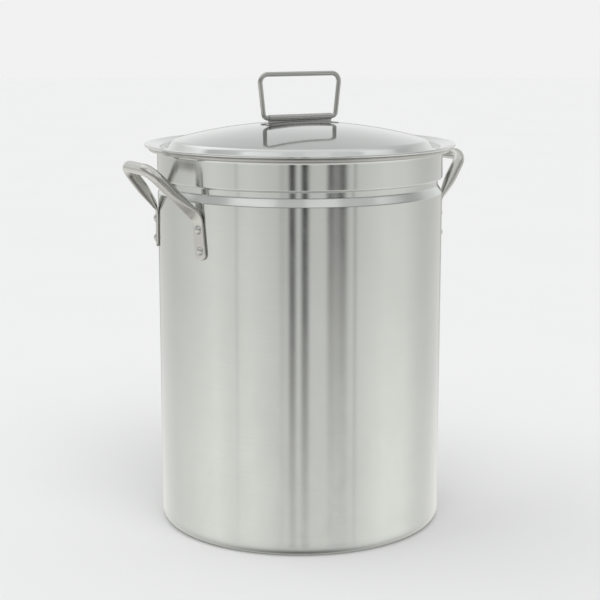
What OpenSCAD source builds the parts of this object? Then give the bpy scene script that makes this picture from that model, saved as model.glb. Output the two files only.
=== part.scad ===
// Stainless steel brew kettle: a tall drawn pot with two riveted tube handles,
// and a domed lid whose wire loop handle turns in a rolled strap.
// +Z is up, the kettle stands on z = 0, and the side handles lie on the X axis.

/* [Kettle body] */
// Outside diameter of the body
body_d = 310; // [260:1:380]
// Height from the floor to the top of the rim
body_h = 416; // [330:1:520]
// Thickness of the drawn sheet
sheet = 0.8; // [0.6:0.1:1.0]
// Outside radius of the bottom corner
knuckle_r = 11; // [6:0.5:14]
// Width of the flat ring that the kettle stands on
foot_ring_w = 18; // [12:1:30]
// Height that the bottom panel is pressed up above the foot ring
base_rise = 2; // [1:0.5:4]
// Distance that the flared rim stands out from the body
rim_out = 9.5; // [8:0.5:12]
// Outside radius of the rim's curled edge
rim_curl_r = 2.8; // [2.2:0.1:3.2]
// Angle of the flare above horizontal
flare_angle = 38; // [30:1:50]

/* [Groove] */
// Depth of the groove pressed in under the rim
groove_depth = 5; // [3:0.5:7]
// Height of the groove
groove_h = 14.5; // [12:0.5:17]
// Height of the groove's upright floor
groove_floor_h = 6.5; // [4:0.5:8]
// Distance from the rim down to the groove's upper ledge
groove_drop = 36; // [28:1:50]

/* [Side handles] */
// Diameter of the handle tube
tube_d = 12.7; // [10:0.1:14]
// Thickness of the flattened tube end
flat_t = 2.6; // [2:0.1:3.5]
// Width of the flattened tube end
flat_w = 15; // [14:0.5:20]
// Angle from the handle's centre plane to each foot, round the body
foot_angle = 19.4; // [17:0.1:26]
// Splay of each foot from vertical
foot_splay = 6; // [0:0.5:12]
// Height of each flattened foot
foot_h = 44; // [42:1:55]
// Distance from the rim down to the bend where the tube leaves the wall
bend_drop = 65; // [60:1:80]
// Distance from the rim down to the middle of the grip bar
grip_drop = 17.5; // [14:0.5:30]
// Distance that the middle of the grip bar stands out from the body
grip_out = 36; // [30:0.1:50]
// Half the distance between the grip bar's corners, before rounding
grip_half = 32; // [26:1:40]
// Bend radius of the grip bar's corners
grip_bend_r = 19; // [12:1:22]

/* [Rivets] */
// Diameter of the rivet shank
rivet_d = 4.8; // [3:0.1:6]
// Diameter of the domed outer head
rivet_head_d = 9.4; // [7:0.1:10]
// Height of the domed outer head
rivet_head_h = 2.6; // [1.5:0.1:3.4]
// Distance from the bend down to the upper rivet
rivet_first = 13; // [12.5:0.5:16]
// Distance between the two rivets of a foot
rivet_pitch = 21.5; // [16:0.5:22]

/* [Lid] */
// Distance that the lid's edge stands out from the body
lid_out = 13.3; // [12.5:0.1:20]
// Height of the dome's top above the kettle's rim
dome_rise = 23.8; // [18:0.2:30]
// Radius that the dome is curved to, up to its shoulder
dome_r = 525; // [450:5:650]
// Radius of the circle where the dome's shoulder bends down
shoulder_r = 138; // [130:1:140]
// Outside radius of the lid's curled edge
lid_curl_r = 1.5; // [1.5:0.1:2]
// Slope of the lid's flange, up towards its edge
flange_slope = 12; // [8:0.2:14]
// Depth of the locating channel below the rim
channel_depth = 4.4; // [3.5:0.1:8]
// Gap between the locating channel and the kettle's inner wall
channel_gap = 1.6; // [1:0.1:4]
// Width of the channel's floor
channel_w = 7.6; // [6:0.2:9]

/* [Lid handle] */
// Diameter of the loop's wire
wire_d = 5; // [4:0.1:6]
// Width of the loop at the top, between its wire centres
loop_top_w = 98.6; // [88:0.2:120]
// Width of the loop at the hinge, between its wire centres
loop_hinge_w = 88; // [80:1:92]
// Height of the loop between its wire centres
loop_h = 46.6; // [35:0.2:60]
// Bend radius of the loop's upper corners
loop_top_r = 9; // [7:0.5:14]
// Bend radius of the loop's lower corners
loop_hinge_r = 5; // [4.5:0.5:8]
// Thickness of the strap
strap_t = 0.9; // [0.8:0.1:1.2]
// Width of the strap across its two flanges
flange_w = 22; // [18:1:30]
// Radial clearance between the wire and the rolled strap
hinge_gap = 0.08; // [0.05:0.01:0.1]

/* [Hidden] */

seat_gap = 0.08;                       // between pieces that rest on each other
turn_n = 96;                           // segments of a full turn, where facets are allowed
small_n = 48;                          // segments of a small round shape
corner_n = 8;                          // segments of a rounded corner
curl_n = 18;                           // segments of a curled edge
curl_sweep = 280;                      // angle that a curled edge turns through
half_sheet = sheet / 2;

body_r = body_d / 2;
wall_r = body_r - half_sheet;          // the middle of the wall's thickness
groove_top = body_h - groove_drop;
groove_step = 1.6;                     // height of the groove's upper ledge
base_bend_r = 1.5;                     // bends of the middle line, from the bottom up
groove_lead_r = 2.5;
groove_foot_r = 4;
groove_bend_r = 0.7;
groove_lip_r = 1.4;
flare_bend_r = 6;
rim_curl = [body_r + rim_out - rim_curl_r, body_h - rim_curl_r];

foot_r = body_r + seat_gap + flat_t / 2;
foot_round = 6;                        // radius of the foot's lower corners
foot_rings = [0, 0.6, 1.6, 3.2, 6];    // distances from the foot's end of its first rings
bend_z = body_h - bend_drop;
bend_r = 12;                           // bend radius where the tube leaves the wall
bend_lift = 0.8;                       // the tube's middle line rises off the wall at the bend
tube_sides = 20;
tube_step = 6;                         // longest step between the tube's rings
flatten_l = 40;                        // length over which the tube is pressed flat
flatten_lead = 5;                      // how far below the bend the tube starts to open

rivet_hole_d = rivet_d + 0.1;          // a free fit for the shank
rivet_drill_l = 12;
rivet_tail_d = 8.4;
rivet_tail_h = 1.3;
rivet_tail_edge = 0.6;
rivet_head_n = 10;

lid_r = body_r + lid_out;
flange_up = [-sin(flange_slope), cos(flange_slope)];
flange_seat = rim_curl + (rim_curl_r + seat_gap + half_sheet) * flange_up;
channel_out = body_r - sheet - channel_gap - half_sheet;
channel_in = channel_out - channel_w;
channel_z = body_h - channel_depth;
dome_top = body_h + dome_rise;
dome_z = dome_top - half_sheet - dome_r;
dome_n = 30;
shoulder_bend_r = 8;                   // bend of the lid's middle line at the dome's shoulder
channel_lead_r = 4;                     // bends of the lid's middle line at its channel
channel_bend_r = 0.8;

wire_r = wire_d / 2;
roll_in_r = wire_r + hinge_gap;
roll_out_r = roll_in_r + strap_t;
neck_h = 0.7;                          // height of the strap's neck, between flange and roll
hinge_z = dome_top + seat_gap + strap_t + neck_h + roll_out_r;
loop = [
    [-loop_hinge_w / 2, hinge_z],
    [loop_hinge_w / 2, hinge_z],
    [loop_top_w / 2, hinge_z + loop_h],
    [-loop_top_w / 2, hinge_z + loop_h],
];
wire_sides = 16;
wire_tuck = 0.02;                      // how much slimmer the bent wire is inside the round run
strap_end_gap = 0.6;                   // between the strap's ends and the loop's lower bends
strap_l = loop_hinge_w - 2 * (loop_hinge_r + strap_end_gap);
flange_l = strap_l + 12;               // the flanges run on past the roll
flange_corner = 5;
flange_reach = 8;                      // how far below the dome's top the strap may reach
cap_reach = 12;                        // the same for the cap that shapes it
cap_n = 24;                            // segments of the dome's arc under the strap
flange_r = dome_r + half_sheet + seat_gap;
weld_d = 4;                            // spot weld dimples
weld_depth = 0.35;
weld_pitch = 26;
weld_out = (roll_out_r + flange_w / 2) / 2;

// ---------- paths ----------

function unit(v) = v / norm(v);

function reversed(list) = [for (i = [len(list) - 1:-1:0]) list[i]];

// A corner at b between a and c, rounded to radius r, in 2D or 3D: half the angle between
// its sides, the arc's centre, and the point where the arc meets the side towards a.
function corner_half(a, b, c) = acos(unit(a - b) * unit(c - b)) / 2;
function corner_centre(a, b, c, r) =
    b + unit(unit(a - b) + unit(c - b)) * r / sin(corner_half(a, b, c));
function corner_touch(a, b, c, r) = b + unit(a - b) * r / tan(corner_half(a, b, c));

function corner(a, b, c, r) =
    let (
        centre = corner_centre(a, b, c, r),
        first = unit(corner_touch(a, b, c, r) - centre),
        last = unit(corner_touch(c, b, a, r) - centre),
        side = unit(last - first * (first * last)),
        sweep = 180 - 2 * corner_half(a, b, c)
    )
    [
        for (i = [0:corner_n])
            let (angle = sweep * i / corner_n)
            centre + r * (first * cos(angle) + side * sin(angle)),
    ];

// An open path whose inner points are rounded to their own radii, or left sharp where that is 0.
function rounded(points, radii) = [
    points[0],
    for (i = [1:len(points) - 2])
        each radii[i] == 0
            ? [points[i]]
            : corner(points[i - 1], points[i], points[i + 1], radii[i]),
    points[len(points) - 1],
];

// A clockwise curl round a centre, after the point where it leaves a line of the given slope.
function curl(centre, r, slope) = [
    for (i = [1:curl_n])
        let (angle = 90 + slope - curl_sweep * i / curl_n)
        centre + r * [cos(angle), sin(angle)],
];

// The path moved sideways by t, to the left of its own direction. It starts on the Y axis and
// goes on there as if mirrored.
function beside(path, t) = [
    for (i = [0:len(path) - 1])
        let (
            last = len(path) - 1,
            after = unit(path[min(i + 1, last)] - path[min(i, last - 1)]),
            before = i == 0 ? [after.x, -after.y] : unit(path[i] - path[i - 1]),
            middle = unit(before + after)
        )
        path[i] + t * [-middle.y, middle.x] / (middle * after),
];

// Outline of a sheet that follows a path through the middle of its thickness.
function sheet_outline(path) = concat(beside(path, half_sheet), reversed(beside(path, -half_sheet)));

// A solid through a row of rings that all have the same number of points, each running
// anticlockwise as seen from the end of the row.
module swept(rings) {
    sides = len(rings[0]);
    last = (len(rings) - 1) * sides;
    walls = [
        for (start = [0:sides:last - sides], k = [0:sides - 1])
            let (a = start + k, b = start + (k + 1) % sides)
            each [[a, b + sides, b], [a, a + sides, b + sides]],
    ];
    first_end = [for (k = [0:sides - 1]) k];
    last_end = [for (k = [sides - 1:-1:0]) last + k];
    polyhedron([for (ring = rings) each ring], concat(walls, [first_end, last_end]));
}

// ---------- kettle body ----------

// From the middle of the bottom, up the wall and round the rim's curl.
function body_path() =
    let (
        foot_in = body_r - knuckle_r - foot_ring_w,
        curl_r = rim_curl_r - half_sheet,
        curl_start = rim_curl + curl_r * [-sin(flare_angle), cos(flare_angle)],
        flare_z = curl_start.y - (curl_start.x - wall_r) * tan(flare_angle)
    )
    concat(
        rounded(
            [
                [0, base_rise + half_sheet],
                [foot_in - base_rise, base_rise + half_sheet],
                [foot_in, half_sheet],
                [wall_r, half_sheet],
                [wall_r, groove_top - groove_h],
                [wall_r - groove_depth, groove_top - groove_floor_h],
                [wall_r - groove_depth, groove_top],
                [wall_r, groove_top + groove_step],
                [wall_r, flare_z],
                curl_start,
            ],
            [
                0, base_bend_r, base_bend_r, knuckle_r - half_sheet, groove_lead_r,
                groove_foot_r, groove_bend_r, groove_lip_r, flare_bend_r, 0,
            ]
        ),
        curl(rim_curl, curl_r, flare_angle)
    );

module pot_shell() {
    color("silver")
        difference() {
            rotate_extrude($fn = turn_n) polygon(sheet_outline(body_path()));
            for (side = [-1, 1], end = [-1, 1], level = [0, 1])
                at_rivet(side, end, level) rivet_drill();
        }
}

// ---------- side handles ----------

// Angle round the body of a point on a foot, at a distance below the bend.
function foot_turn(drop) = foot_angle + asin(drop * tan(foot_splay) / body_r);

function foot_point(end, drop, r) =
    let (angle = end * foot_turn(drop))
    [r * cos(angle), r * sin(angle), bend_z - drop];

// Half of the foot's rings and corners, from its end up to the bend.
function foot_points(end) = [
    for (d = foot_rings) foot_point(end, foot_h - d, foot_r),
    foot_point(end, rivet_first - rivet_head_d / 2, foot_r),
    foot_point(end, 0, foot_r + bend_lift),
];

// Middle line of a handle, from the rear foot over the grip bar to the front foot.
function handle_path() =
    let (
        grip = [body_r + grip_out, grip_half, body_h - grip_drop],
        rear = foot_points(1),
        front = reversed(foot_points(-1)),
        straight = [for (i = [2:len(rear)]) 0],
        radii = concat(straight, [bend_r, grip_bend_r, grip_bend_r, bend_r], straight)
    )
    stepped(rounded(concat(rear, [grip, [grip.x, -grip.y, grip.z]], front), radii));

// The path with points added, so that no step is longer than tube_step.
function stepped(path) = [
    for (i = [0:len(path) - 2])
        let (count = ceil(norm(path[i + 1] - path[i]) / tube_step))
        for (k = [0:count - 1]) path[i] + (path[i + 1] - path[i]) * k / count,
    path[len(path) - 1],
];

// Length along a path up to each of its points.
function lengths(path) = [
    for (
        i = 0, sum = 0;
        i < len(path);
        sum = sum + (i + 1 < len(path) ? norm(path[i + 1] - path[i]) : 0), i = i + 1
    )
        sum
];

function ease(x) = let (c = min(1, max(0, x))) c * c * (3 - 2 * c);

// The tube's section: round where half_w and half_t are equal, else a bar with round edges.
function tube_section(half_w, half_t) = [
    for (k = [0:tube_sides - 1])
        let (angle = 360 * (k + 0.5) / tube_sides)
        [half_t * cos(angle) + sign(cos(angle)) * (half_w - half_t), half_t * sin(angle)],
];

// The section at one point of the handle, with its flat side towards the wall.
function handle_ring(path, along, i) =
    let (
        last = len(path) - 1,
        forward = unit(path[min(i + 1, last)] - path[max(i - 1, 0)]),
        outward = unit([path[i].x, path[i].y, 0]),
        across = unit(cross(outward, forward)),
        normal = cross(forward, across),
        to_end = min(along[i], along[last] - along[i]),
        opened = ease((to_end - foot_h + flatten_lead) / flatten_l),
        trim = foot_round - sqrt(foot_round^2 - max(0, foot_round - to_end)^2),
        half_w = flat_w / 2 + (tube_d - flat_w) / 2 * opened - trim,
        half_t = flat_t / 2 + (tube_d - flat_t) / 2 * opened
    )
    [for (p = tube_section(half_w, half_t)) path[i] + across * p.x + normal * p.y];

module handle() {
    path = handle_path();
    along = lengths(path);
    color("gainsboro")
        difference() {
            swept([for (i = [0:len(path) - 1]) handle_ring(path, along, i)]);
            for (end = [-1, 1], level = [0, 1])
                at_rivet(1, end, level) rivet_drill();
        }
}

module left_handle() {
    mirror([1, 0, 0]) handle();
}

module right_handle() {
    handle();
}

// ---------- rivets ----------

// Moves children from the origin to the wall's outside at a rivet, with +Z pointing out.
// side is 1 on the right handle, end is 1 on the rear foot, and level is 1 on the lower rivet.
module at_rivet(side, end, level) {
    drop = rivet_first + rivet_pitch * level;
    mirror([side < 0 ? 1 : 0, 0, 0])
        rotate([0, 0, end * foot_turn(drop)])
            translate([body_r, 0, bend_z - drop])
                rotate([0, 90, 0])
                    children();
}

module rivet_drill() {
    cylinder(h = rivet_drill_l, d = rivet_hole_d, center = true, $fn = small_n);
}

// The flat tail inside the wall, the shank, and the domed head outside the foot.
module rivet(side, end, level) {
    seat = flat_t + 2 * seat_gap;
    tail = -sheet - 2 * seat_gap;
    tail_r = rivet_tail_d / 2;
    head_r = rivet_head_d / 2;
    ball_r = (head_r^2 + rivet_head_h^2) / (2 * rivet_head_h);
    head_angle = acos(head_r / ball_r);
    head = [
        for (i = [0:rivet_head_n])
            let (angle = head_angle + (90 - head_angle) * i / rivet_head_n)
            [ball_r * cos(angle), seat + rivet_head_h - ball_r + ball_r * sin(angle)],
    ];
    shank = [
        [0, tail - rivet_tail_h],
        [tail_r - rivet_tail_edge, tail - rivet_tail_h],
        [tail_r, tail - rivet_tail_h + rivet_tail_edge],
        [tail_r, tail],
        [rivet_d / 2, tail],
        [rivet_d / 2, seat],
    ];
    color("whitesmoke")
        at_rivet(side, end, level)
            rotate_extrude($fn = small_n)
                polygon(concat(shank, head));
}

module left_front_upper_rivet() rivet(-1, -1, 0);
module left_front_lower_rivet() rivet(-1, -1, 1);
module left_rear_upper_rivet() rivet(-1, 1, 0);
module left_rear_lower_rivet() rivet(-1, 1, 1);
module right_front_upper_rivet() rivet(1, -1, 0);
module right_front_lower_rivet() rivet(1, -1, 1);
module right_rear_upper_rivet() rivet(1, 1, 0);
module right_rear_lower_rivet() rivet(1, 1, 1);

// ---------- lid ----------

function dome_point(i) =
    let (angle = asin(shoulder_r / dome_r) * i / dome_n)
    [dome_r * sin(angle), dome_z + dome_r * cos(angle)];

// From the top of the dome, through the channel, up the flange and round the edge's curl.
function lid_path() =
    let (
        curl_r = lid_curl_r - half_sheet,
        curl_x = lid_r - lid_curl_r,
        edge_x = curl_x + curl_r * flange_up.x,
        edge_z = flange_seat.y + (edge_x - flange_seat.x) * tan(flange_slope),
        inner_z = flange_seat.y + (channel_out - flange_seat.x) * tan(flange_slope)
    )
    concat(
        [for (i = [0:dome_n - 3]) dome_point(i)],
        rounded(
            [
                dome_point(dome_n - 2),
                dome_point(dome_n),
                [channel_in, channel_z],
                [channel_out, channel_z],
                [channel_out, inner_z],
                [edge_x, edge_z],
            ],
            [0, shoulder_bend_r, channel_lead_r, channel_bend_r, channel_bend_r, 0]
        ),
        curl([curl_x, edge_z - curl_r * flange_up.y], curl_r, flange_slope)
    );

module lid_shell() {
    color("lightgray")
        rotate_extrude($fn = turn_n) polygon(sheet_outline(lid_path()));
}

// ---------- lid handle ----------

// A strap rolled round the loop's lower run, with a flange on each side that hugs the dome.
module lid_handle_strap() {
    color("darkgray")
        difference() {
            union() {
                rotate([90, 0, 90])
                    linear_extrude(strap_l, center = true)
                        strap_section();
                intersection() {
                    dome_cap(flange_r + strap_t);
                    translate([0, 0, dome_top - flange_reach])
                        linear_extrude(2 * flange_reach)
                            flange_outline();
                }
            }
            dome_cap(flange_r);
            translate([0, 0, hinge_z])
                rotate([0, 90, 0])
                    cylinder(h = 2 * strap_l, r = roll_in_r, center = true, $fn = small_n);
            for (x = [-1:1], side = [-1, 1])
                weld_dimple([x * weld_pitch, side * weld_out]);
        }
}

// The top of a ball that has the dome's centre, down to a flat level below the dome's top.
module dome_cap(r) {
    floor_z = dome_top - cap_reach;
    cap_angle = acos((floor_z - dome_z) / r);
    rotate_extrude($fn = turn_n)
        polygon([
            [0, floor_z],
            for (i = [cap_n:-1:0])
                let (angle = cap_angle * i / cap_n)
                [r * sin(angle), dome_z + r * cos(angle)],
        ]);
}

module strap_section() {
    translate([0, hinge_z]) circle(roll_out_r, $fn = small_n);
    translate([-strap_t, dome_top - flange_reach])
        square([2 * strap_t, hinge_z - dome_top + flange_reach]);
}

module flange_outline() {
    square([flange_l - 2 * flange_corner, flange_w], center = true);
    square([flange_l, flange_w - 2 * flange_corner], center = true);
    for (x = [-1, 1], y = [-1, 1])
        translate([x * (flange_l / 2 - flange_corner), y * (flange_w / 2 - flange_corner)])
            circle(flange_corner, $fn = small_n);
}

// A shallow round dent in the flange's top, at a place on the dome.
module weld_dimple(place) {
    ball_r = (weld_d^2 / 4 + weld_depth^2) / (2 * weld_depth);
    top_z = dome_z + sqrt((flange_r + strap_t)^2 - place * place);
    translate([place.x, place.y, top_z + ball_r - weld_depth])
        sphere(ball_r, $fn = small_n);
}

// The closed wire loop: a round run that turns in the strap, and the wire bent round from
// one end of that run to the other.
module lid_loop_handle() {
    run_l = 2 * corner_touch(loop[0], loop[1], loop[2], loop_hinge_r).x;
    inside = run_l / 2 - strap_end_gap;
    path = rounded(
        concat([[inside, hinge_z]], [for (i = [1:4]) loop[i % 4]], [[-inside, hinge_z]]),
        [0, loop_hinge_r, loop_top_r, loop_top_r, loop_hinge_r, 0]
    );
    color("gray")
        union() {
            translate([0, 0, hinge_z])
                rotate([0, 90, 0])
                    cylinder(h = run_l, r = wire_r, center = true, $fn = small_n);
            swept([for (i = [0:len(path) - 1]) wire_ring(path, i)]);
        }
}

// The wire's section at one point, a little slimmer where it's inside the round run.
function wire_ring(path, i) =
    let (
        last = len(path) - 1,
        forward = unit(path[min(i + 1, last)] - path[max(i - 1, 0)]),
        r = i < 2 || i > last - 2 ? wire_r - wire_tuck : wire_r
    )
    [
        for (k = [0:wire_sides - 1])
            let (angle = 360 * k / wire_sides, out = r * cos(angle))
            [path[i].x + out * forward.y, r * sin(angle), path[i].y - out * forward.x],
    ];

// ---------- nodes ----------

pot_shell();
left_handle();
right_handle();
left_front_upper_rivet();
left_front_lower_rivet();
left_rear_upper_rivet();
left_rear_lower_rivet();
right_front_upper_rivet();
right_front_lower_rivet();
right_rear_upper_rivet();
right_rear_lower_rivet();
lid_shell();
lid_handle_strap();
lid_loop_handle();
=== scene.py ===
import math

import bpy
import numpy as np
from mathutils import Matrix, Vector


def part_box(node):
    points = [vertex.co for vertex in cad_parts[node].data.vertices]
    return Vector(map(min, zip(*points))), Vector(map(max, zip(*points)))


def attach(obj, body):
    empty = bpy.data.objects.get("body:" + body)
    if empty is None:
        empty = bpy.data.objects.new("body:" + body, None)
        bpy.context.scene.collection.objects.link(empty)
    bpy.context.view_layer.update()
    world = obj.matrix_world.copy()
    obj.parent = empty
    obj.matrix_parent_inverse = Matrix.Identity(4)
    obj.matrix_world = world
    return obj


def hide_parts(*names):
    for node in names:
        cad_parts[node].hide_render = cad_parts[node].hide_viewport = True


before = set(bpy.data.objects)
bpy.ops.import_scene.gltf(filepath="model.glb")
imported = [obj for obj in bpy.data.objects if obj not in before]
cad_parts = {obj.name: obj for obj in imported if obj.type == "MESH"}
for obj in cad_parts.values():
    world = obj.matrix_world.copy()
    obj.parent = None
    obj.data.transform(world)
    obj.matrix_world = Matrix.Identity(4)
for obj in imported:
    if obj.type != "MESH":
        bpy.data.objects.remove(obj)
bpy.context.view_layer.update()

# Lengths in this script are in millimetres until a mesh is made, which is in metres.
MM = 0.001


def box_mm(node):
    low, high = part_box(node)
    return np.array(low) / MM, np.array(high) / MM


# ---------- sizes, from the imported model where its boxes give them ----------

_, pot_high = box_mm("pot_shell")
lid_low, lid_high = box_mm("lid_shell")
loop_low, loop_high = box_mm("lid_loop_handle")
_, strap_high = box_mm("lid_handle_strap")
_, grip_high = box_mm("right_handle")

SHEET = 0.8
HALF = SHEET / 2
SEAT = 0.08

RIM_Z = pot_high[2]
RIM_R = pot_high[0]
RIM_OUT = 9.5
BODY_R = RIM_R - RIM_OUT
WALL_R = BODY_R - HALF
RIM_CURL_R = 2.8
FLARE = math.radians(38)
KNUCKLE_R = 11
FOOT_RING_W = 18
BASE_RISE = 2
GROOVE_TOP = RIM_Z - 36
GROOVE_H = 14.5
GROOVE_FLOOR_H = 6.5
GROOVE_DEPTH = 5
GROOVE_STEP = 1.6
BASE_BEND_R = 1.5
GROOVE_LEAD_R = 2.5
GROOVE_FOOT_R = 4
GROOVE_BEND_R = 0.7
GROOVE_LIP_R = 1.4
FLARE_BEND_R = 6
CURL_SWEEP = math.radians(280)
ROUND_TURNS = 320

TUBE_D = 12.7
FLAT_T = 2.6
FLAT_W = 15
FOOT_ANGLE = math.radians(19.4)
FOOT_SPLAY = math.radians(6)
FOOT_H = 44
FOOT_ROUND = 6
FOOT_R = BODY_R + SEAT + FLAT_T / 2
BEND_Z = RIM_Z - 65
BEND_R = 12
BEND_LIFT = 0.8
GRIP_Z = RIM_Z - 17.5
GRIP_R = grip_high[0] - TUBE_D / 2
GRIP_HALF = 32
GRIP_BEND_R = 19
FLATTEN_L = 40
FLATTEN_LEAD = 5

RIVET_D = 4.8
RIVET_HEAD_D = 9.4
RIVET_HEAD_H = 2.6
RIVET_FIRST = 13
RIVET_PITCH = 21.5
RIVET_TAIL_D = 8.4
RIVET_TAIL_H = 1.3

LID_R = lid_high[0]
DOME_TOP = lid_high[2]
LID_CURL_R = 1.5
FLANGE_SLOPE = math.radians(12)
CHANNEL_Z = lid_low[2] + HALF
LID_PLAY = 1.6
CHANNEL_W = 7.6
CHANNEL_OUT = BODY_R - SHEET - LID_PLAY - HALF
CHANNEL_IN = CHANNEL_OUT - CHANNEL_W
SHOULDER_BEND_R = 8
CHANNEL_LEAD_R = 4
CHANNEL_BEND_R = 0.8
DOME_R = 525
SHOULDER_R = 138
DOME_Z = DOME_TOP - HALF - DOME_R

WIRE_R = loop_high[1]
HINGE_Z = loop_low[2] + WIRE_R
LOOP_TOP_Z = loop_high[2] - WIRE_R
LOOP_TOP_W = 98.6
LOOP_HINGE_W = 88
LOOP_TOP_R = 9
LOOP_HINGE_R = 5
STRAP_T = 0.9
STRAP_END_GAP = 0.6
STRAP_HALF = LOOP_HINGE_W / 2 - LOOP_HINGE_R - STRAP_END_GAP
FLANGE_HALF = strap_high[0]
FLANGE_Y = strap_high[1]
FLANGE_CORNER = 5
ROLL_REACH = 3.2
WELD_D = 4
WELD_DEPTH = 0.35
WELD_PITCH = 26
WELD_Y = 7.24
WELDS = [(column * WELD_PITCH, side * WELD_Y) for column in (-1, 0, 1) for side in (-1, 1)]


# ---------- paths ----------


def unit(v):
    v = np.asarray(v, float)
    return v / np.linalg.norm(v)


def smooth(x):
    x = np.clip(x, 0, 1)
    return x * x * (3 - 2 * x)


def rounded(points, radii, step=5.0):
    """A path whose inner points are rounded to their radii, with a point every step degrees of an arc."""
    points = [np.asarray(p, float) for p in points]
    path = [points[0]]
    for before, at, after, radius in zip(points, points[1:], points[2:], radii[1:-1]):
        if not radius:
            path.append(at)
            continue
        back, on = unit(before - at), unit(after - at)
        half = math.acos(np.clip(back @ on, -1, 1)) / 2
        centre = at + unit(back + on) * radius / math.sin(half)
        first = unit(at + back * radius / math.tan(half) - centre)
        last = unit(at + on * radius / math.tan(half) - centre)
        side = unit(last - first * (first @ last))
        sweep = math.pi - 2 * half
        count = max(4, math.ceil(math.degrees(sweep) / step))
        for i in range(count + 1):
            a = sweep * i / count
            path.append(centre + radius * (first * math.cos(a) + side * math.sin(a)))
    path.append(points[-1])
    return path


def curl(centre, radius, slope, count=44):
    """A clockwise curl round a centre, after the point where it leaves a line of the given slope."""
    start = math.pi / 2 + slope
    angles = [start - CURL_SWEEP * i / count for i in range(1, count + 1)]
    return [np.asarray(centre) + radius * np.array([math.cos(a), math.sin(a)]) for a in angles]


def filled(path, step, guard=0.7):
    """The path with points added on its long runs, close to both ends and then every step."""
    out = [path[0]]
    for a, b in zip(path, path[1:]):
        run = np.linalg.norm(b - a)
        if run > 4 * guard:
            stops = [guard / run]
            count = max(1, math.ceil((run - 2 * guard) / step))
            stops += [(guard + (run - 2 * guard) * i / count) / run for i in range(1, count)]
            stops.append(1 - guard / run)
            out += [a + (b - a) * s for s in stops]
        out.append(b)
    return out


def beside(path, t):
    """The path moved sideways by t, to the left of its own direction. It starts on the axis."""
    out = []
    for i, p in enumerate(path):
        after = unit(path[min(i + 1, len(path) - 1)] - path[min(i, len(path) - 2)])
        before = np.array([after[0], -after[1]]) if i == 0 else unit(p - path[i - 1])
        middle = unit(before + after)
        out.append(p + t * np.array([-middle[1], middle[0]]) / (middle @ after))
    return out


# ---------- meshes ----------


def make_piece(name, verts, faces, materials, body, nodes, face_slots=None, sharp=40):
    mesh = bpy.data.meshes.new(name)
    mesh.from_pydata([tuple(float(c) * MM for c in v) for v in verts], [], faces)
    mesh.validate()
    for m in materials:
        mesh.materials.append(m)
    if face_slots is not None:
        mesh.polygons.foreach_set("material_index", face_slots)
    mesh.polygons.foreach_set("use_smooth", [True] * len(mesh.polygons))
    mesh.set_sharp_from_angle(angle=math.radians(sharp))
    mesh.update()
    piece = bpy.data.objects.new(name, mesh)
    bpy.context.scene.collection.objects.link(piece)
    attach(piece, body)
    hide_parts(*nodes)
    return piece


def revolved(path, t, turns):
    """Points and faces of a sheet of half thickness t, turned round Z, and the side that each face is on:
    0 to the left of the path, 1 to its right and at its end."""
    left, right = beside(path, t), beside(path, -t)
    rows = left + right[::-1]
    verts, ring_of = [], []
    for r, z in rows:
        if r < 1e-6:
            ring_of.append([len(verts)] * turns)
            verts.append((0, 0, z))
        else:
            ring_of.append(list(range(len(verts), len(verts) + turns)))
            for k in range(turns):
                a = 2 * math.pi * k / turns
                verts.append((r * math.cos(a), r * math.sin(a), z))
    faces, side = [], []
    for i in range(len(rows) - 1):
        a, b = ring_of[i], ring_of[i + 1]
        for k in range(turns):
            n = (k + 1) % turns
            corners = [a[k], b[k], b[n], a[n]]
            face = [v for j, v in enumerate(corners) if v != corners[j - 1]]
            faces.append(face)
            side.append(0 if i < len(left) - 1 else 1)
    return verts, faces, side


def tube_faces(rings, sides, closed):
    """Faces between rings of points, each running anticlockwise as seen from the end of the row."""
    faces = []
    for i in range(rings if closed else rings - 1):
        a, b = i * sides, (i + 1) % rings * sides
        for k in range(sides):
            n = (k + 1) % sides
            faces.append([a + k, a + n, b + n, b + k])
    return faces


# ---------- node trees ----------


def node(tree, kind, inputs=None, **settings):
    made = tree.nodes.new(kind)
    for key, value in settings.items():
        setattr(made, key, value)
    for key, value in (inputs or {}).items():
        if isinstance(value, bpy.types.NodeSocket):
            tree.links.new(value, made.inputs[key])
        else:
            made.inputs[key].default_value = value
    return made


def maths(tree, operation, a, b=0.0, c=0.0, clamp=False):
    made = node(tree, "ShaderNodeMath", {0: a, 1: b, 2: c}, operation=operation, use_clamp=clamp)
    return made.outputs[0]


def vector_maths(tree, operation, a, b):
    made = node(tree, "ShaderNodeVectorMath", {0: a, 1: b}, operation=operation)
    return made.outputs["Value" if operation in ("DOT_PRODUCT", "LENGTH") else "Vector"]


def scaled(tree, vector, amount):
    return node(tree, "ShaderNodeVectorMath", {0: vector, "Scale": amount}, operation="SCALE").outputs[0]


def noise(tree, vector, scale, detail=3.0, rough=0.55, warp=0.0):
    inputs = {"Vector": vector, "Scale": scale, "Detail": detail, "Roughness": rough, "Distortion": warp}
    return node(tree, "ShaderNodeTexNoise", inputs).outputs[0]


def span(tree, value, low, high, to_low=0.0, to_high=1.0, soft=False):
    """The value carried from one range to another and held at its ends."""
    kind = "SMOOTHSTEP" if soft else "LINEAR"
    inputs = {0: value, 1: low, 2: high, 3: to_low, 4: to_high}
    return node(tree, "ShaderNodeMapRange", inputs, interpolation_type=kind, clamp=True).outputs[0]


def blend(tree, amount, a, b):
    """Two colours mixed."""
    made = node(tree, "ShaderNodeMix", data_type="RGBA")
    for index, value in ((0, amount), (6, a), (7, b)):
        if isinstance(value, bpy.types.NodeSocket):
            tree.links.new(value, made.inputs[index])
        else:
            made.inputs[index].default_value = value
    return made.outputs[2]


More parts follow.
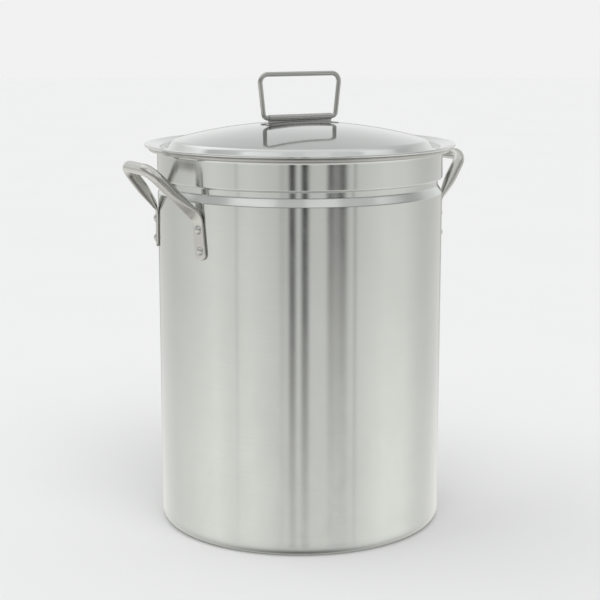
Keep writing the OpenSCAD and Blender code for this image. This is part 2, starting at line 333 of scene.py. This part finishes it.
def ramp(tree, value, stops):
    """The value carried through stops of (place, grey level), in straight lines."""
    made = node(tree, "ShaderNodeValToRGB", {0: value})
    band = made.color_ramp
    band.interpolation = "LINEAR"
    while len(band.elements) < len(stops):
        band.elements.new(0.5)
    for element, (place, grey) in zip(band.elements, stops):
        element.position = place
        element.color = (grey, grey, grey, 1)
    return made.outputs[0]


def steel(
    name,
    tint,
    rough,
    grain=(6, 6, 900),
    ringed=True,
    grain_bump=0.5,
    wave=0.0,
    smudge=0.05,
    anisotropic=0.0,
    turn=0.0,
    scratch=0.12,
    streak=0.04,
    worn=None,
):
    """Stainless steel: polishing lines along one direction, smudges, fine scratches and a little waviness.
    grain is the lines' frequency along each axis, per metre; ringed lines run round Z on flat faces too.
    worn is a list of (low z, high z, change of roughness) bands in millimetres."""
    material = bpy.data.materials.new(name)
    material.use_nodes = True
    tree = material.node_tree
    tree.nodes.clear()
    place = node(tree, "ShaderNodeTexCoord").outputs["Object"]
    xyz = node(tree, "ShaderNodeSeparateXYZ", {0: place}).outputs
    if ringed:
        flat = node(tree, "ShaderNodeCombineXYZ", {0: xyz[0], 1: xyz[1], 2: 0.0}).outputs[0]
        out = vector_maths(tree, "LENGTH", flat, (0, 0, 0))
        depth = maths(tree, "ADD", xyz[2], out)
        grain_place = node(tree, "ShaderNodeCombineXYZ", {0: xyz[0], 1: xyz[1], 2: depth}).outputs[0]
    else:
        grain_place = place
    lines_at = vector_maths(tree, "MULTIPLY", grain_place, grain)
    lines = noise(tree, lines_at, 1.0, detail=5, rough=0.65)
    fine_at = vector_maths(tree, "MULTIPLY", grain_place, tuple(3.7 * g for g in grain))
    fine = noise(tree, fine_at, 1.0, detail=3, rough=0.6)
    broad = noise(tree, place, 9, detail=4, rough=0.6, warp=0.6)
    smears_at = vector_maths(tree, "MULTIPLY", place, (30, 30, 14))
    smears = noise(tree, smears_at, 1.0, detail=5, rough=0.65, warp=1.2)

    # sparse hairline scratches, in two directions
    marks = None
    for turned, stretch in ((0.5, (26, 26, 1500)), (-0.9, (1300, 1300, 22))):
        lean = node(tree, "ShaderNodeVectorRotate", {0: place, "Angle": turned}, rotation_type="X_AXIS")
        thread_at = vector_maths(tree, "MULTIPLY", lean.outputs[0], stretch)
        thread = noise(tree, thread_at, 1.0, detail=2, rough=0.5)
        hair = span(tree, thread, 0.70, 0.74)
        marks = hair if marks is None else maths(tree, "MAXIMUM", marks, hair)
    patchy = span(tree, noise(tree, place, 24, detail=2), 0.5, 0.62)
    marks = maths(tree, "MULTIPLY", marks, maths(tree, "MULTIPLY", patchy, 0.6))

    shade = span(tree, lines, 0.25, 0.75, 1 - streak, 1 + streak)
    shade = maths(tree, "MULTIPLY", shade, span(tree, broad, 0.3, 0.7, 0.975, 1.02))
    shade = maths(tree, "SUBTRACT", shade, maths(tree, "MULTIPLY", marks, 0.05))
    colour = scaled(tree, tint, shade)

    roughness = span(tree, smears, 0.3, 0.72, rough - smudge * 0.5, rough + smudge)
    roughness = maths(tree, "ADD", roughness, span(tree, fine, 0.25, 0.75, -0.12 * rough, 0.12 * rough))
    roughness = maths(tree, "ADD", roughness, maths(tree, "MULTIPLY", marks, scratch))
    for low, high, change in worn or ():
        soft_edge = (high - low) * 0.3
        rise = span(tree, xyz[2], (low - soft_edge) * MM, (low + soft_edge) * MM, soft=True)
        fall = span(tree, xyz[2], (high - soft_edge) * MM, (high + soft_edge) * MM, 1, 0, soft=True)
        band = maths(tree, "MULTIPLY", maths(tree, "MULTIPLY", rise, fall), change)
        roughness = maths(tree, "ADD", roughness, band)
    roughness = maths(tree, "MAXIMUM", roughness, 0.05, clamp=True)

    grooves = {"Height": lines, "Strength": grain_bump, "Distance": 0.00001}
    normal = node(tree, "ShaderNodeBump", grooves).outputs[0]
    if wave:
        swell = noise(tree, vector_maths(tree, "MULTIPLY", place, (7, 7, 5)), 1.0, detail=1.5, rough=0.4)
        waves = {"Height": swell, "Strength": 1.0, "Distance": wave, "Normal": normal}
        normal = node(tree, "ShaderNodeBump", waves).outputs[0]

    shader = node(
        tree,
        "ShaderNodeBsdfPrincipled",
        {"Metallic": 1.0, "Base Color": colour, "Roughness": roughness, "Normal": normal},
    )
    if anisotropic:
        shader.inputs["Anisotropic"].default_value = anisotropic
        shader.inputs["Anisotropic Rotation"].default_value = turn
        round_z = node(tree, "ShaderNodeTangent", direction_type="RADIAL", axis="Z").outputs[0]
        tree.links.new(round_z, shader.inputs["Tangent"])
    out = node(tree, "ShaderNodeOutputMaterial", {"Surface": shader.outputs[0]})
    out.is_active_output = True
    return material


WALL_STEEL = steel(
    "wall_steel",
    (0.665, 0.68, 0.66),
    0.145,
    grain_bump=0.25,
    streak=0.015,
    wave=0.00022,
    smudge=0.03,
    anisotropic=0.95,
    turn=0.25,
    worn=[(407, 417, -0.03), (-1, 12, 0.08)],
)
INNER_STEEL = steel(
    "inner_steel",
    (0.60, 0.595, 0.575),
    0.34,
    anisotropic=0.8,
    turn=0.25,
    grain_bump=0.8,
    smudge=0.08,
)
LID_STEEL = steel(
    "lid_steel",
    (0.70, 0.705, 0.70),
    0.065,
    wave=0.0001,
    anisotropic=0.5,
    turn=0.25,
    smudge=0.03,
)
LID_UNDER = steel("lid_under_steel", (0.62, 0.62, 0.60), 0.3, anisotropic=0.6, turn=0.25, smudge=0.07)
HANDLE_STEEL = steel(
    "handle_steel",
    (0.62, 0.61, 0.585),
    0.25,
    grain=(420, 60, 420),
    ringed=False,
    smudge=0.07,
    worn=[(300, 345, 0.05), (385, 405, -0.05)],
)
RIVET_STEEL = steel(
    "rivet_steel",
    (0.66, 0.66, 0.645),
    0.34,
    grain=(300, 300, 300),
    ringed=False,
    scratch=0.2,
)
STRAP_STEEL = steel(
    "strap_steel",
    (0.50, 0.50, 0.49),
    0.27,
    grain=(14, 420, 420),
    ringed=False,
    scratch=0.2,
)
WIRE_STEEL = steel(
    "wire_steel",
    (0.50, 0.50, 0.485),
    0.3,
    grain=(60, 900, 60),
    ringed=False,
    grain_bump=0.2,
    streak=0.02,
    smudge=0.03,
    scratch=0.06,
)


# ---------- kettle body ----------


def body_path():
    foot_in = BODY_R - KNUCKLE_R - FOOT_RING_W
    curl_centre = np.array([RIM_R - RIM_CURL_R, RIM_Z - RIM_CURL_R])
    curl_r = RIM_CURL_R - HALF
    curl_start = curl_centre + curl_r * np.array([-math.sin(FLARE), math.cos(FLARE)])
    flare_z = curl_start[1] - (curl_start[0] - WALL_R) * math.tan(FLARE)
    points = [
        (0, BASE_RISE + HALF),
        (foot_in - BASE_RISE, BASE_RISE + HALF),
        (foot_in, HALF),
        (WALL_R, HALF),
        (WALL_R, GROOVE_TOP - GROOVE_H),
        (WALL_R - GROOVE_DEPTH, GROOVE_TOP - GROOVE_FLOOR_H),
        (WALL_R - GROOVE_DEPTH, GROOVE_TOP),
        (WALL_R, GROOVE_TOP + GROOVE_STEP),
        (WALL_R, flare_z),
        curl_start,
    ]
    radii = [0, BASE_BEND_R, BASE_BEND_R, KNUCKLE_R - HALF, GROOVE_LEAD_R]
    radii += [GROOVE_FOOT_R, GROOVE_BEND_R, GROOVE_LIP_R, FLARE_BEND_R, 0]
    return filled(rounded(points, radii), 14) + curl(curl_centre, curl_r, FLARE)


verts, faces, side = revolved(body_path(), HALF, ROUND_TURNS)
make_piece(
    "pot_shell_steel",
    verts,
    faces,
    [INNER_STEEL, WALL_STEEL],
    "kettle",
    ["pot_shell"],
    face_slots=side,
)


# ---------- side handles ----------


def foot_turn(drop):
    return FOOT_ANGLE + math.asin(drop * math.tan(FOOT_SPLAY) / BODY_R)


def foot_point(end, drop, r):
    a = end * foot_turn(drop)
    return np.array([r * math.cos(a), r * math.sin(a), BEND_Z - drop])


def handle_path():
    """Middle line of the right handle, from the rear foot over the grip bar to the front foot."""

    def foot(end):
        drops = [FOOT_ROUND * (1 - math.cos(math.pi / 2 * i / 14)) for i in range(15)]
        low = [foot_point(end, FOOT_H - d, FOOT_R) for d in drops]
        low += [foot_point(end, RIVET_FIRST - RIVET_HEAD_D / 2, FOOT_R)]
        return low + [foot_point(end, 0, FOOT_R + BEND_LIFT)]

    rear, front = foot(1), foot(-1)[::-1]
    corners = [(GRIP_R, GRIP_HALF, GRIP_Z), (GRIP_R, -GRIP_HALF, GRIP_Z)]
    radii = [0] * (len(rear) - 1) + [BEND_R, GRIP_BEND_R, GRIP_BEND_R, BEND_R] + [0] * (len(front) - 1)
    path = rounded(rear + corners + front, radii, step=3)
    out = [path[0]]
    for a, b in zip(path, path[1:]):
        count = max(1, math.ceil(np.linalg.norm(b - a) / 1.8))
        out += [a + (b - a) * i / count for i in range(1, count + 1)]
    return out


def handle_mesh(mirrored):
    sides = 44
    path = handle_path()
    along = np.concatenate([[0], np.cumsum([np.linalg.norm(b - a) for a, b in zip(path, path[1:])])])
    total = along[-1]
    turns = [2 * math.pi * (k + 0.5) / sides for k in range(sides)]
    rings = []
    for i, p in enumerate(path):
        forward = unit(path[min(i + 1, len(path) - 1)] - path[max(i - 1, 0)])
        outward = unit([p[0], p[1], 0])
        across = unit(np.cross(outward, forward))
        normal = np.cross(forward, across)
        to_end = min(along[i], total - along[i])
        opened = float(smooth((to_end - FOOT_H + FLATTEN_LEAD) / FLATTEN_L))
        trim = FOOT_ROUND - math.sqrt(FOOT_ROUND**2 - max(0, FOOT_ROUND - to_end) ** 2)
        half_w = FLAT_W / 2 + (TUBE_D - FLAT_W) / 2 * opened - trim
        half_t = FLAT_T / 2 + (TUBE_D - FLAT_T) / 2 * opened
        # the press leaves a shallow hollow down the middle of the outer face where the tube closes
        hollow = 0.55 * math.exp(-(((opened - 0.22) / 0.16) ** 2))
        ring = []
        for a in turns:
            x = half_t * math.cos(a) + math.copysign(half_w - half_t, math.cos(a))
            y = half_t * math.sin(a)
            if y > 0:
                y -= hollow * max(0, 1 - (x / half_w) ** 2) ** 2 * math.sin(a)
            ring.append((x, y))
        rings.append((p, across, normal, forward, ring))

    def cap(ring, outward_sign):
        """Rings that close an end: a small edge radius, then in to a seam between the two layers."""
        p, across, normal, forward, shape = ring
        half_width = max(x for x, _ in shape)
        made = []
        for inset, depth, seam in (
            (0.12, 0.16, 0),
            (0.35, 0.3, 0),
            (0.7, 0.34, 0),
            (1.1, 0.34, 0),
            (1.22, 0.1, 1),
        ):
            loop = []
            for x, y in shape:
                thin = max(0.02, 1 - inset / (FLAT_T / 2))
                side_in = x * (1 - inset * (1 - 0.55 * seam) / half_width)
                loop.append(p + across * side_in + normal * y * thin + forward * outward_sign * depth)
            made.append(loop)
        return made

    def solid(ring):
        p, across, normal, _, shape = ring
        return [p + across * x + normal * y for x, y in shape]

    loops = cap(rings[0], -1)[::-1] + [solid(r) for r in rings] + cap(rings[-1], 1)
    verts = [v for loop in loops for v in loop]
    faces = tube_faces(len(loops), sides, closed=False)
    faces.append(list(range(sides))[::-1])
    faces.append(list(range(len(verts) - sides, len(verts))))
    if mirrored:
        verts = [(-v[0], v[1], v[2]) for v in verts]
        faces = [f[::-1] for f in faces]
    return verts, faces


for side_name in ("left", "right"):
    verts, faces = handle_mesh(mirrored=side_name == "left")
    make_piece(
        f"{side_name}_handle_tube",
        verts,
        faces,
        [HANDLE_STEEL],
        "kettle",
        [f"{side_name}_handle"],
        sharp=50,
    )


# ---------- rivets ----------


def rivet_mesh(side, end, level):
    seat = FLAT_T + 2 * SEAT
    tail = -SHEET - 2 * SEAT
    head_r, tail_r = RIVET_HEAD_D / 2, RIVET_TAIL_D / 2
    ball = (head_r**2 + RIVET_HEAD_H**2) / (2 * RIVET_HEAD_H)
    low = math.acos(head_r / ball)
    top = seat + RIVET_HEAD_H
    points = [
        (0, tail - RIVET_TAIL_H),
        (tail_r - 0.9, tail - RIVET_TAIL_H),
        (tail_r, tail - RIVET_TAIL_H + 0.6),
        (tail_r, tail),
        (RIVET_D / 2, tail),
        (RIVET_D / 2, seat),
        (head_r, seat),
    ]
    outline = filled(rounded(points, [0, 0.7, 0.4, 0.15, 0, 0, 0], step=15), 2, guard=0.25)
    arc = []
    for i in range(1, 17):
        a = low + (math.pi / 2 - low) * i / 16
        arc.append(np.array([ball * math.cos(a), top - ball + ball * math.sin(a)]))
    arc[-1][0] = 0
    outline = rounded([*outline, *arc[:1]], [0] * (len(outline) - 1) + [0.12, 0], step=20) + arc[1:]
    turns = 56
    drop = RIVET_FIRST + RIVET_PITCH * level
    place = (
        Matrix.Diagonal((side, 1, 1, 1))
        @ Matrix.Rotation(end * foot_turn(drop), 4, "Z")
        @ Matrix.Translation((BODY_R, 0, BEND_Z - drop))
        @ Matrix.Rotation(math.pi / 2, 4, "Y")
    )
    verts, rows = [], []
    for r, z in outline:
        on_axis = r < 1e-6
        rows.append([len(verts)] * turns if on_axis else list(range(len(verts), len(verts) + turns)))
        for k in range(1 if on_axis else turns):
            a = 2 * math.pi * k / turns
            verts.append(place @ Vector((r * math.cos(a), r * math.sin(a), z)))
    faces = []
    for a, b in zip(rows, rows[1:]):
        for k in range(turns):
            n = (k + 1) % turns
            corners = [a[k], a[n], b[n], b[k]]
            face = [v for j, v in enumerate(corners) if v != corners[j - 1]]
            faces.append(face[::side])
    return verts, faces


for side_name, side_sign in (("left", -1), ("right", 1)):
    for end_name, end_sign in (("front", -1), ("rear", 1)):
        for level_name, level in (("upper", 0), ("lower", 1)):
            cad_node = f"{side_name}_{end_name}_{level_name}_rivet"
            verts, faces = rivet_mesh(side_sign, end_sign, level)
            make_piece(
                f"{cad_node}_domed",
                verts,
                faces,
                [RIVET_STEEL],
                "kettle",
                [cad_node],
                sharp=50,
            )


# ---------- lid ----------


def lid_path():
    flange_up = np.array([-math.sin(FLANGE_SLOPE), math.cos(FLANGE_SLOPE)])
    rim = np.array([RIM_R - RIM_CURL_R, RIM_Z - RIM_CURL_R])
    seat = rim + (RIM_CURL_R + SEAT + HALF) * flange_up
    curl_r = LID_CURL_R - HALF
    curl_x = LID_R - LID_CURL_R
    edge_x = curl_x + curl_r * flange_up[0]
    slope = math.tan(FLANGE_SLOPE)
    edge_z = seat[1] + (edge_x - seat[0]) * slope
    inner_z = seat[1] + (CHANNEL_OUT - seat[0]) * slope
    full = math.asin(SHOULDER_R / DOME_R)
    dome = [full * i / 44 for i in range(45)]
    dome = [(DOME_R * math.sin(a), DOME_Z + DOME_R * math.cos(a)) for a in dome]
    channel = [(CHANNEL_IN, CHANNEL_Z), (CHANNEL_OUT, CHANNEL_Z), (CHANNEL_OUT, inner_z), (edge_x, edge_z)]
    radii = [0, SHOULDER_BEND_R, CHANNEL_LEAD_R, CHANNEL_BEND_R, CHANNEL_BEND_R, 0]
    bends = rounded([dome[-3], dome[-1], *channel], radii, step=3)
    path = [np.array(p) for p in dome[:-3]] + filled(bends, 4, guard=0.5)
    return path + curl([curl_x, edge_z - curl_r * flange_up[1]], curl_r, FLANGE_SLOPE)


verts, faces, side = revolved(lid_path(), HALF, ROUND_TURNS)
make_piece(
    "lid_shell_steel",
    verts,
    faces,
    [LID_STEEL, LID_UNDER],
    "lid",
    ["lid_shell"],
    face_slots=side,
)


# ---------- lid handle ----------


def dome_level(x, y):
    """Height of the flange's middle over the dome."""
    reach = DOME_R + HALF + SEAT + STRAP_T / 2
    return DOME_Z + math.sqrt(reach**2 - x * x - y * y)


def strap_profile(x):
    """Half of the strap's section at x, through the middle of its sheet, from the flange's edge to the top
    of the roll, as (y, z, share of the roll's length against the flange's)."""
    slit = 0.5
    bend, fillet = 0.9, 0.7
    roll = WIRE_R + SEAT + STRAP_T / 2
    level = dome_level(x, slit + bend)
    points = []
    for i in range(27):
        y = -(FLANGE_Y - (FLANGE_Y - slit - bend) * i / 26)
        points.append((y, dome_level(x, y), 1 - float(smooth((abs(y) - 1.2) / 2.4))))
    for i in range(1, 9):
        a = math.pi / 2 * i / 8
        points.append((-slit - bend * (1 - math.sin(a)), level + bend * (1 - math.cos(a)), 1))
    fillet_z = HINGE_Z - math.sqrt((roll + fillet) ** 2 - (slit + fillet) ** 2)
    start = level + bend
    for i in range(1, 4):
        points.append((-slit, start + (fillet_z - start) * i / 3, 1))
    meet = math.atan2(HINGE_Z - fillet_z, slit + fillet)
    for i in range(1, 9):
        a = meet * i / 8
        points.append((-slit - fillet * (1 - math.cos(a)), fillet_z + fillet * math.sin(a), 1))
    first = math.pi + meet
    for i in range(1, 29):
        a = first - (first - math.pi / 2) * i / 28
        points.append((roll * math.cos(a), HINGE_Z + roll * math.sin(a), 1))
    return points


def strap_mesh():
    columns = 150
    rows = len(strap_profile(0)) * 2 - 1
    middle = np.zeros((rows, columns + 1, 3))
    for j in range(columns + 1):
        share = 2 * j / columns - 1
        first = strap_profile(share * FLANGE_HALF)
        lengths = []
        for y, _, rolled in first:
            corner = max(0, abs(y) - (FLANGE_Y - FLANGE_CORNER))
            flange = FLANGE_HALF - FLANGE_CORNER + math.sqrt(FLANGE_CORNER**2 - corner**2)
            lengths.append(flange + (STRAP_HALF - flange) * rolled)
        for i, length in enumerate(lengths):
            x = share * length
            y, z, _ = strap_profile(x)[i]
            middle[i, j] = (x, y, z)
            middle[rows - 1 - i, j] = (x, -y, z)
    down = np.gradient(middle, axis=0)
    over = np.gradient(middle, axis=1)
    normal = np.cross(over, down)
    normal /= np.linalg.norm(normal, axis=2, keepdims=True)
    top = middle - normal * STRAP_T / 2
    under = middle + normal * STRAP_T / 2
    if top[0, columns // 2, 2] < under[0, columns // 2, 2]:
        top, under = under, top
    for x, y in WELDS:
        away = np.hypot(top[..., 0] - x, top[..., 1] - y)
        on_flange = top[..., 2] < HINGE_Z - ROLL_REACH
        dent = WELD_DEPTH * (1 - smooth(away / (WELD_D / 2)))
        top[..., 2] -= np.where(on_flange, dent, 0)
    verts = [v for row in top for v in row] + [v for row in under for v in row]
    wide = columns + 1
    base = rows * wide
    faces = []
    for i in range(rows - 1):
        for j in range(columns):
            a = i * wide + j
            faces.append([a, a + 1, a + wide + 1, a + wide])
            b = base + a
            faces.append([b, b + wide, b + wide + 1, b + 1])
    edge = list(range(wide))
    edge += [i * wide + columns for i in range(1, rows)]
    edge += [(rows - 1) * wide + j for j in range(columns - 1, -1, -1)]
    edge += [i * wide for i in range(rows - 2, 0, -1)]
    for k, a in enumerate(edge):
        b = edge[(k + 1) % len(edge)]
        faces.append([b, a, a + base, b + base])
    return verts, faces


verts, faces = strap_mesh()
make_piece(
    "lid_handle_strap_rolled",
    verts,
    faces,
    [STRAP_STEEL],
    "lid",
    ["lid_handle_strap"],
    sharp=35,
)


def loop_mesh():
    sides = 32
    half_hinge, half_top = LOOP_HINGE_W / 2, LOOP_TOP_W / 2
    corners = [
        (0, HINGE_Z),
        (half_hinge, HINGE_Z),
        (half_top, LOOP_TOP_Z),
        (-half_top, LOOP_TOP_Z),
        (-half_hinge, HINGE_Z),
        (0, HINGE_Z),
    ]
    radii = [0, LOOP_HINGE_R, LOOP_TOP_R, LOOP_TOP_R, LOOP_HINGE_R, 0]
    path = filled(rounded(corners, radii, step=4), 3, guard=0.8)[:-1]
    verts = []
    for i, p in enumerate(path):
        forward = unit(path[(i + 1) % len(path)] - path[i - 1])
        for k in range(sides):
            a = 2 * math.pi * k / sides
            out = WIRE_R * math.cos(a)
            verts.append((p[0] + out * forward[1], WIRE_R * math.sin(a), p[1] - out * forward[0]))
    return verts, tube_faces(len(path), sides, closed=True)


verts, faces = loop_mesh()
make_piece(
    "lid_loop_wire",
    verts,
    faces,
    [WIRE_STEEL],
    "lid_handle",
    ["lid_loop_handle"],
)


# ---------- floor, light and camera ----------

TOWARD_CAMERA = (-0.4787, -0.878, 0)
CAMERA_RIGHT = (0.878, -0.4787, 0)


def studio_world():
    """What the polished steel sees: a pale room with a few darker upright bands and soft lights overhead.
    Bands are placed in degrees round Z from the camera's side, and levels by the height of the direction."""
    world = bpy.data.worlds.new("studio")
    bpy.context.scene.world = world
    world.use_nodes = True
    tree = world.node_tree
    tree.nodes.clear()
    way = node(tree, "ShaderNodeTexCoord").outputs["Generated"]
    rise = node(tree, "ShaderNodeSeparateXYZ", {0: way}).outputs[2]
    turn = maths(
        tree,
        "ARCTAN2",
        vector_maths(tree, "DOT_PRODUCT", way, CAMERA_RIGHT),
        vector_maths(tree, "DOT_PRODUCT", way, TOWARD_CAMERA),
    )
    turn = maths(tree, "MULTIPLY_ADD", turn, 1 / (2 * math.pi), 0.5)

    def around(stops):
        return ramp(tree, turn, [(d / 360 + 0.5, level) for d, level in stops])

    room = around(
        [
            (-180, 0.86),
            (-150, 0.88),
            (-122, 0.82),
            (-98, 0.91),
            (-72, 1.04),
            (-57, 0.94),
            (-40, 0.98),
            (-29, 0.90),
            (-17, 0.82),
            (12, 0.82),
            (44, 0.84),
            (52, 0.90),
            (72, 1.02),
            (92, 1.0),
            (112, 0.84),
            (124, 0.82),
            (150, 0.9),
            (180, 0.86),
        ]
    )
    near = around(
        [
            (-17, 1),
            (-15, 0.8),
            (-12, 0.85),
            (-10, 0.95),
            (-8.5, 0.5),
            (-7.2, 0.0),
            (-4.6, 0.0),
            (-3.2, 0.6),
            (-2, 1),
            (-0.2, 1),
            (1.2, 0.5),
            (2.2, 0.0),
            (5.2, 0.0),
            (6.6, 0.5),
            (8, 1),
        ]
    )
    wide = around(
        [
            (20, 1),
            (22.3, 0.3),
            (24, 0.05),
            (25.5, 0.1),
            (27, 0.3),
            (30, 0.28),
            (32.5, 0.05),
            (34.5, 0.0),
            (36, 0.25),
            (38.5, 0.9),
            (41, 1),
        ]
    )
    lines = around([(-53.5, 1), (-51.5, 0.72), (-49, 1), (42, 1), (44, 0.5), (46, 1)])
    behind = around(
        [
            (-180, 0.35),
            (-172, 0.9),
            (-168, 0.4),
            (-160, 1),
            (157, 1),
            (163, 0.6),
            (170, 0.95),
            (180, 0.35),
        ]
    )

    def toward_one(share, band):
        """The band at a share of 1, and no change to the light at 0."""
        return maths(tree, "ADD", maths(tree, "MULTIPLY", share, band), maths(tree, "SUBTRACT", 1.0, share))

    def fading(band, low, high):
        """The band, fading to nothing as the direction dips below the horizon."""
        share = span(tree, rise, low, high, soft=True)
        return toward_one(share, band)

    level = room
    for band, low, high in (
        (near, -0.275, -0.23),
        (wide, -0.24, -0.14),
        (lines, -0.4, -0.1),
        (behind, -0.4, -0.1),
    ):
        level = maths(tree, "MULTIPLY", level, fading(band, low, high))
    below = ramp(
        tree,
        maths(tree, "MULTIPLY_ADD", rise, -1.0, 0.0),
        [
            (0.0, 0.76),
            (0.12, 0.81),
            (0.17, 0.87),
            (0.215, 0.925),
            (0.25, 1.02),
            (0.3, 1.08),
            (0.8, 0.75),
            (0.93, 0.4),
            (1.0, 0.12),
        ],
    )
    above = ramp(
        tree,
        rise,
        [
            (0.0, 0.92),
            (0.15, 0.95),
            (0.25, 0.87),
            (0.4, 0.74),
            (0.55, 0.65),
            (0.75, 0.75),
            (0.9, 0.9),
            (1.0, 0.95),
        ],
    )
    up = span(tree, rise, -0.04, 0.06, soft=True)
    low_part = maths(tree, "MULTIPLY", level, below)
    high_part = maths(tree, "MULTIPLY", above, maths(tree, "MULTIPLY_ADD", room, 0.35, 0.65))
    front = around([(-180, 0), (-130, 0), (-100, 1), (100, 1), (130, 0), (180, 0)])
    shelf = ramp(tree, rise, [(0.0, 0.0), (0.12, 0.5), (0.42, 0.6), (0.56, 0.1)])
    shade = maths(tree, "MULTIPLY", front, shelf)
    high_part = maths(tree, "MULTIPLY", high_part, maths(tree, "SUBTRACT", 1.0, shade))
    streaks = toward_one(span(tree, rise, 0.1, 0.3, 1, 0), maths(tree, "MULTIPLY", near, wide))
    high_part = maths(tree, "MULTIPLY", high_part, streaks)

    def lamp(centre, width, low, high, power):
        """A soft bright patch in the sky, round one direction."""
        off = maths(tree, "ABSOLUTE", maths(tree, "SUBTRACT", turn, centre / 360 + 0.5))
        sideways = span(tree, off, width / 720 * 0.6, width / 720, 1, 0, soft=True)
        edge = (high - low) * 0.45
        upward = maths(
            tree,
            "MULTIPLY",
            span(tree, rise, low - edge, low + edge, soft=True),
            span(tree, rise, high - edge, high + edge, 1, 0, soft=True),
        )
        return maths(tree, "MULTIPLY", maths(tree, "MULTIPLY", sideways, upward), power)

    for patch in (
        (-50, 60, 0.62, 0.86, 0.4),
        (24, 44, 0.62, 0.86, 0.34),
        (95, 40, 0.6, 0.86, 0.3),
        (-135, 60, 0.45, 0.85, 0.5),
    ):
        high_part = maths(tree, "ADD", high_part, lamp(*patch))
    light = maths(
        tree,
        "ADD",
        maths(tree, "MULTIPLY", high_part, up),
        maths(tree, "MULTIPLY", low_part, maths(tree, "SUBTRACT", 1.0, up)),
    )
    cool = span(tree, rise, -0.1, 0.15, soft=True)
    tone = blend(tree, cool, (1.0, 0.995, 0.965, 1), (0.985, 1.0, 0.992, 1))
    room_colour = scaled(tree, tone, light)
    rays = node(tree, "ShaderNodeLightPath").outputs
    dimmed = blend(tree, 0.16, room_colour, (0, 0, 0, 1))
    seen = blend(tree, rays["Is Diffuse Ray"], room_colour, dimmed)
    seen = blend(tree, rays["Is Camera Ray"], seen, (0.885, 0.885, 0.885, 1))
    shader = node(tree, "ShaderNodeBackground", {"Color": seen, "Strength": 1.0})
    node(tree, "ShaderNodeOutputWorld", {"Surface": shader.outputs[0]})


studio_world()


def floor():
    """A round pale floor, wide enough to reach past every view."""
    rings, turns, reach = 24, 96, 12000
    verts = [(0, 0, 0)]
    for i in range(1, rings + 1):
        r = reach * (i / rings) ** 2.2
        for k in range(turns):
            a = 2 * math.pi * k / turns
            verts.append((r * math.cos(a), r * math.sin(a), 0))
    faces = [[0, 1 + k, 1 + (k + 1) % turns] for k in range(turns)]
    for i in range(rings - 1):
        a, b = 1 + i * turns, 1 + (i + 1) * turns
        faces += [[a + k, b + k, b + (k + 1) % turns, a + (k + 1) % turns] for k in range(turns)]
    mesh = bpy.data.meshes.new("floor")
    mesh.from_pydata([tuple(c * MM for c in v) for v in verts], [], faces)
    material = bpy.data.materials.new("floor_paper")
    material.use_nodes = True
    tree = material.node_tree
    tree.nodes.clear()
    place = node(tree, "ShaderNodeTexCoord").outputs["Object"]
    tone = span(tree, noise(tree, place, 3, detail=2), 0.3, 0.7, 0.995, 1.005)
    colour = scaled(tree, (0.86, 0.86, 0.86), tone)
    shader = node(tree, "ShaderNodeBsdfPrincipled", {"Base Color": colour, "Roughness": 0.9})
    shader.inputs["Specular IOR Level"].default_value = 0.1
    node(tree, "ShaderNodeOutputMaterial", {"Surface": shader.outputs[0]})
    mesh.materials.append(material)
    made = bpy.data.objects.new("floor", mesh)
    bpy.context.scene.collection.objects.link(made)
    made.visible_glossy = False


floor()


def soft_sun(name, azimuth, elevation, strength, spread):
    """A wide soft light. Azimuth 0 shines along +Y, and 90 along -X."""
    data = bpy.data.lights.new(name, "SUN")
    data.energy = strength
    data.angle = math.radians(spread)
    lamp = bpy.data.objects.new(name, data)
    a, e = math.radians(azimuth), math.radians(elevation)
    back = Vector((math.sin(a) * math.cos(e), -math.cos(a) * math.cos(e), math.sin(e)))
    lamp.rotation_mode = "QUATERNION"
    lamp.rotation_quaternion = back.to_track_quat("Z", "Y")
    lamp.visible_glossy = False
    bpy.context.scene.collection.objects.link(lamp)


soft_sun("key_light", -15, 55, 1.1, 50)
soft_sun("fill_light", -120, 45, 0.5, 60)

camera_data = bpy.data.cameras.new("camera")
camera_data.lens = 90
camera_data.clip_start, camera_data.clip_end = 0.01, 100
camera = bpy.data.objects.new("camera", camera_data)
camera.location = (-0.783, -1.436, 0.5537)
aim = Vector((0, 0, 0.243))
camera.rotation_mode = "QUATERNION"
camera.rotation_quaternion = (aim - camera.location).to_track_quat("-Z", "Y")
bpy.context.scene.collection.objects.link(camera)
bpy.context.scene.camera = camera
bpy.context.scene.view_settings.view_transform = "Standard"
